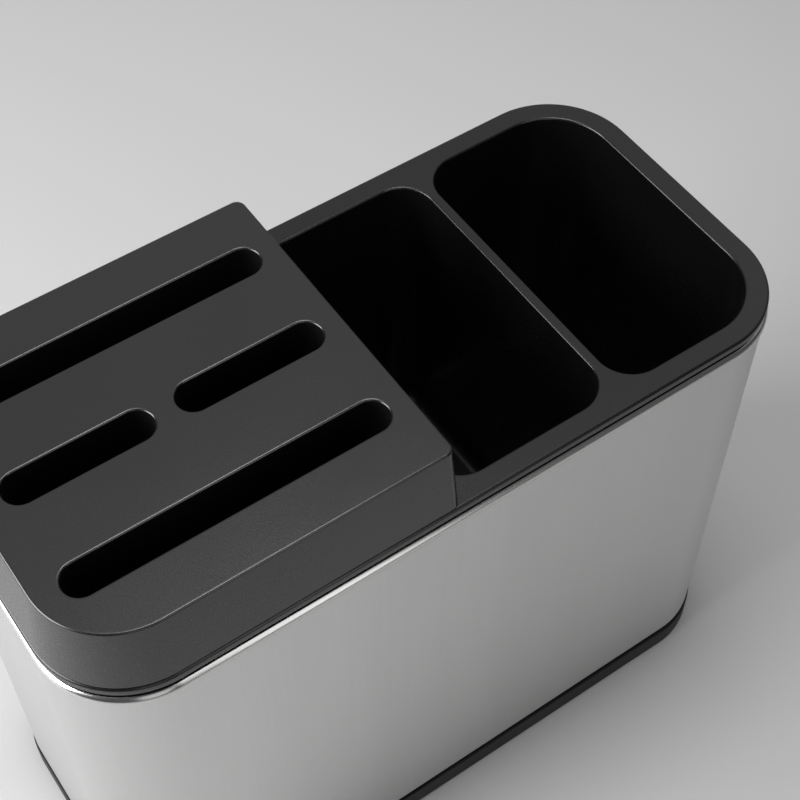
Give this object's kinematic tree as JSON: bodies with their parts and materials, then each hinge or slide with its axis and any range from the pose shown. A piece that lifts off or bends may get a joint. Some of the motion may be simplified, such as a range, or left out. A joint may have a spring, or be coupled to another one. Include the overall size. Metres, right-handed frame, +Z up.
{
  "type": "cutlery drainer",
  "caption": "Free-standing cutlery drainer: brushed steel sleeve, lift-out liner with open compartments, slotted knife block and drip tray.",
  "frame": {"origin": "on the table under the middle of the body", "axes": "+X along the length from the knife block to the open compartments, +Y to the back, +Z up"},
  "size_m": [0.2422, 0.1162, 0.2053],
  "materials": {
    "steel": "fine brushed",
    "liner_black": "satin moulded",
    "block_black": "satin moulded",
    "plinth_black": "matt moulded",
    "tray_black": "satin moulded",
    "rubber": "matt"
  },
  "bodies": {
    "housing": {"steel_sleeve": "steel", "plinth": "plinth_black", "foot_front_left": "rubber", "foot_front_right": "rubber", "foot_back_left": "rubber", "foot_back_right": "rubber"},
    "tray": {"drip_tray": "tray_black"},
    "liner": {"liner": "liner_black"},
    "block": {"knife_block": "block_black"}
  },
  "joints": [
    {"name": "tray_lift", "type": "slide", "parent": "housing", "child": "tray", "axis": [0, 0, 1], "range_m": [0, 0.175]},
    {"name": "liner_lift", "type": "slide", "parent": "tray", "child": "liner", "axis": [0, 0, 1], "range_m": [0, 0.17]},
    {"name": "block_lift", "type": "slide", "parent": "liner", "child": "block", "axis": [0, 0, 1], "range_m": [0, 0.06]}
  ]
}
